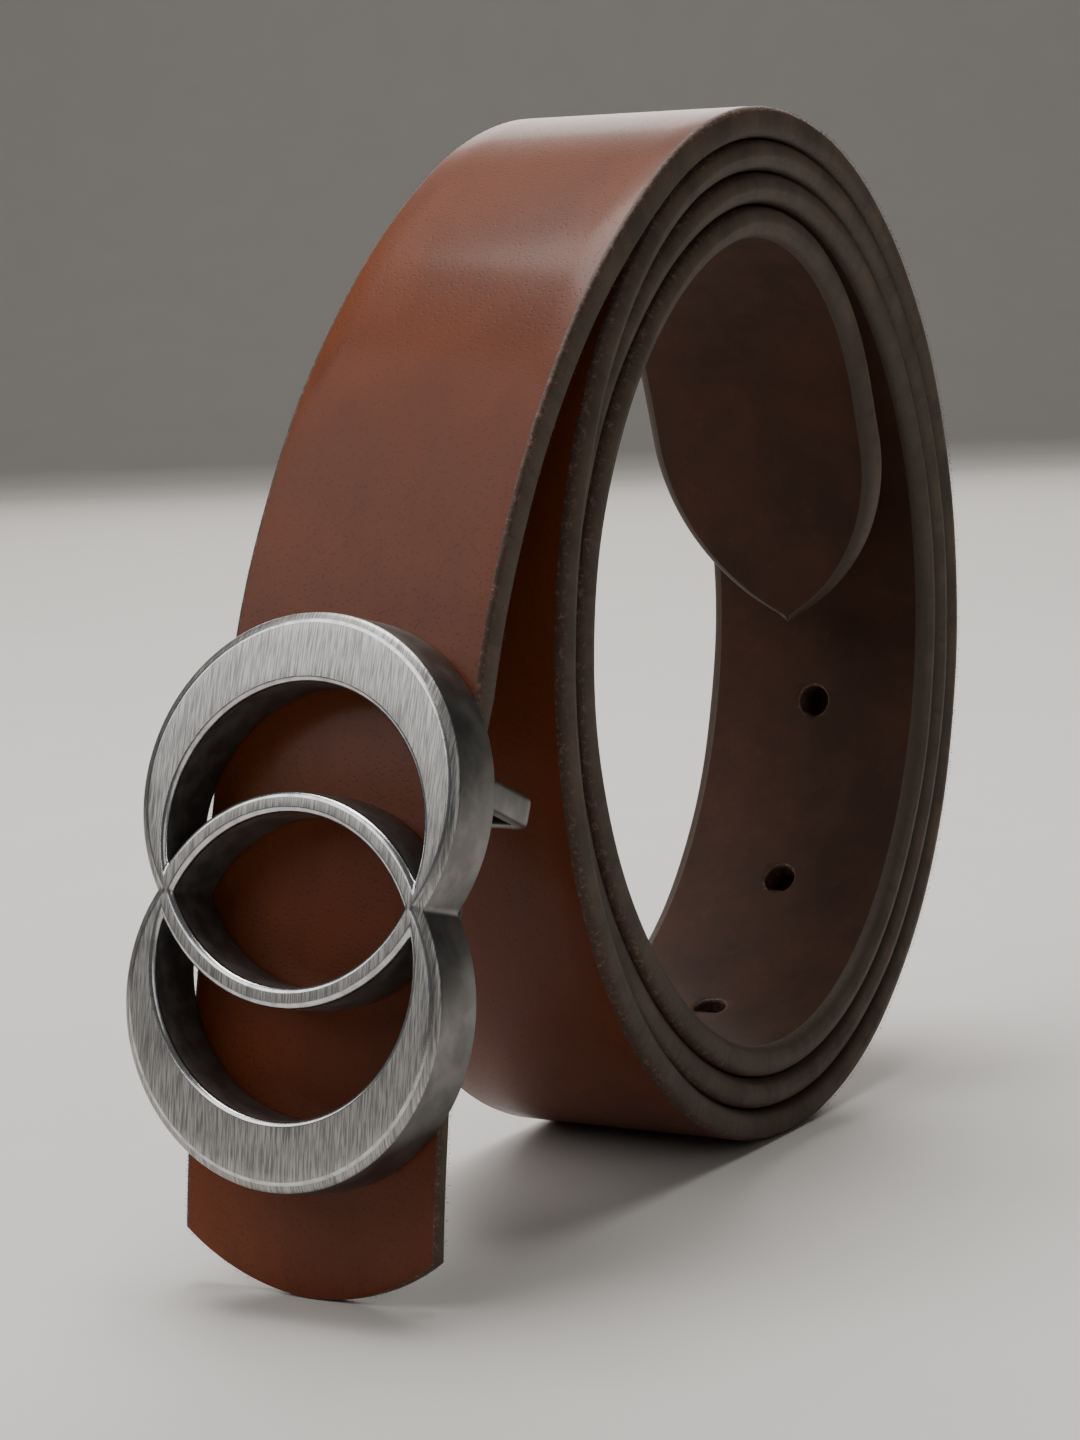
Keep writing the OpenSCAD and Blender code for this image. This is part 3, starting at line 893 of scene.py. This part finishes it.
def turned(tree):
    body = make(tree, "ShaderNodeTexCoord", out=3)
    lines = noise(tree, body, 2600, 3)
    wear = noise(tree, body, 400, 3)
    return {
        "Base Color": mixed(tree, wear.band(0.4, 0.7), (0.44, 0.43, 0.42, 1), (0.30, 0.295, 0.29, 1)),
        "Metallic": 1.0,
        "Roughness": 0.26 + 0.16 * lines,
        "Normal": bump(tree, lines, 0.00003, 0.4),
    }


turned_look = material("metal_turned", turned)


def joined(name, parts):
    """Several closed meshes in one object."""
    mesh = bmesh.new()
    for data in parts:
        mesh.from_mesh(data)
        bpy.data.meshes.remove(data)
    for face in mesh.faces:
        face.smooth = len(face.verts) == 4
    data = bpy.data.meshes.new(name)
    mesh.to_mesh(data)
    mesh.free()
    return data


pin_end = math.sqrt(ring_r ** 2 - loop_raise ** 2) - 0.0002
pin_start = slot_x - leg_t / 2 - 0.000075 - 0.00035
pin_length = pin_end - pin_start
pin_profile = [(0.0004, 0), (0.0006, 0.0002), (0.0006, pin_length - 0.0002), (0.00045, pin_length)]
pins = add("pin_pair", joined("pin_pair", [
    lathe("pin", pin_profile, 24, pivot + Vector((side * pin_start, 0, 0)), (side, 0, 0), (0, 0, 1))
    for side in (-1, 1)]), turned_look)
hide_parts("loop_pivots")
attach(pins, "belt")

stud_p, stud_n, _ = along(stud_run)
collar_seat = -thick(stud_run) - rest_gap
collar_end = collar_seat - 0.001
head_mid = collar_end - 0.0039
stud_profile = [(0.0010, head_mid - 0.0005), (0.0016, head_mid - 0.00042), (0.0019, head_mid - 0.0002),
                (0.0020, head_mid), (0.0019, head_mid + 0.0002), (0.0016, head_mid + 0.0004),
                (0.0015, head_mid + 0.0006), (0.0015, collar_end), (0.0028, collar_end),
                (0.0030, collar_end + 0.0002), (0.0030, collar_seat - 0.0001), (0.0029, collar_seat),
                (0.0015, collar_seat), (0.0015, 0.0034), (0.0013, 0.0035)]
stud_mesh = joined("stud_turned", [lathe("stud", stud_profile, 48, stud_p, stud_n)])
stud = add("stud_turned", stud_mesh, turned_look)
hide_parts("hook_stud")
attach(stud, "belt")

screw_p, screw_n, _ = along(screw_run)
screw_up = Vector((0, screw_n.z, -screw_n.y))
screw_seat = -thick(screw_run) - rest_gap
head_top = screw_seat - 0.001
screw_profile = [(0.0019, head_top), (0.0024, screw_seat - 0.0009), (0.00265, screw_seat - 0.00065),
                 (0.00275, screw_seat - 0.0003), (0.00275, screw_seat - 0.00005), (0.0027, screw_seat),
                 (0.00125, screw_seat), (0.00125, 0.0038), (0.0010, 0.0040)]
screw_places = [screw_p + Vector((x, 0, 0)) for x in (-screw_x, screw_x)]
screws = add("screw_pair", joined("screw_pair", [
    lathe("screw", screw_profile, 40, place, screw_n) for place in screw_places]), turned_look)
drive_size = (0.007, 0.0008, 0.001)
cut(screws, [block("drive_tool", place + screw_n * head_top, screw_up, screw_n, drive_size, turned_look)
             for place in screw_places])
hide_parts("strap_screws")
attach(screws, "belt")

# ---------------------------------------------------------------------------------------------
# Floor, light and camera
# A plain pale floor that curves up behind, soft lights overhead, in front to the left and behind
# for the sheen on top, a weak one on the right, and the camera low in front, to the right.
# ---------------------------------------------------------------------------------------------


def pale(tree):
    body = make(tree, "ShaderNodeTexCoord", out=3)
    cloud = noise(tree, body, 40, 3)
    return {
        "Base Color": mixed(tree, cloud, (0.60, 0.58, 0.555, 1), (0.64, 0.62, 0.60, 1)),
        "Roughness": 0.6,
        "Specular IOR Level": 0.3,
    }


azimuth, pitch, roll = math.radians(30.300), math.radians(7.492), math.radians(-1.927)


def build_floor():
    """A sheet square to the camera that curves up into a wall."""
    flat_end, sweep = 1.2, 0.5
    rows = [(-1.5, 0), (flat_end, 0)]
    rows += [(flat_end + sweep * math.sin(q), sweep - sweep * math.cos(q))
             for q in np.linspace(0.1, math.pi / 2, 16)]
    rows += [(flat_end + sweep, 2.5)]
    c, s = math.cos(azimuth), math.sin(azimuth)
    verts = [(x * c - y * s, x * s + y * c, z) for y, z in rows for x in (-3, 3)]
    strips = [(2 * i, 2 * i + 1, 2 * i + 3, 2 * i + 2) for i in range(len(rows) - 1)]
    data = bpy.data.meshes.new("floor")
    data.from_pydata(verts, [], strips)
    for polygon in data.polygons:
        polygon.use_smooth = True
    return data


floor = add("floor", build_floor(), material("floor_pale", pale))


def area(name, place, target, size, power, colour):
    data = bpy.data.lights.new(name, "AREA")
    data.shape = "RECTANGLE"
    data.size, data.size_y = size
    data.energy = power
    data.color = colour
    obj = bpy.data.objects.new(name, data)
    obj.location = place
    obj.rotation_euler = (Vector(target) - Vector(place)).to_track_quat("-Z", "Y").to_euler()
    obj.visible_camera = False
    bpy.context.scene.collection.objects.link(obj)


area("key", (-0.10, 0.10, 0.85), (0, 0, 0.06), (0.5, 0.5), 8, (1, 0.98, 0.95))
area("fill", (0.80, -0.55, 0.45), (0, 0, 0.06), (0.5, 0.6), 0.8, (1, 0.97, 0.93))
area("front", (-0.45, -0.60, 0.68), (0, -0.05, 0.05), (0.8, 0.8), 4.8, (1, 0.98, 0.96))
area("back", (-0.55, 0.95, 0.50), (0, 0, 0.08), (1.0, 0.5), 7.0, (1, 0.96, 0.92))

world = bpy.data.worlds.new("room")
world.use_nodes = True
world.node_tree.nodes["Background"].inputs["Color"].default_value = (0.9, 0.89, 0.87, 1)
world.node_tree.nodes["Background"].inputs["Strength"].default_value = 0.085
bpy.context.scene.world = world

look = Vector((-math.sin(azimuth) * math.cos(pitch), math.cos(azimuth) * math.cos(pitch), -math.sin(pitch)))
right = Vector((math.cos(azimuth), math.sin(azimuth), 0))
above = right.cross(look)
right, above = (right * math.cos(roll) + above * math.sin(roll),
                -right * math.sin(roll) + above * math.cos(roll))
lens = bpy.data.cameras.new("camera")
lens.sensor_width = 36
lens.lens = 87.7
lens.clip_start, lens.clip_end = 0.01, 20
camera = bpy.data.objects.new("camera", lens)
camera.location = (0.19152, -0.35791, 0.10135)
camera.rotation_euler = Matrix((right, above, -look)).transposed().to_euler()
bpy.context.scene.collection.objects.link(camera)
bpy.context.scene.camera = camera
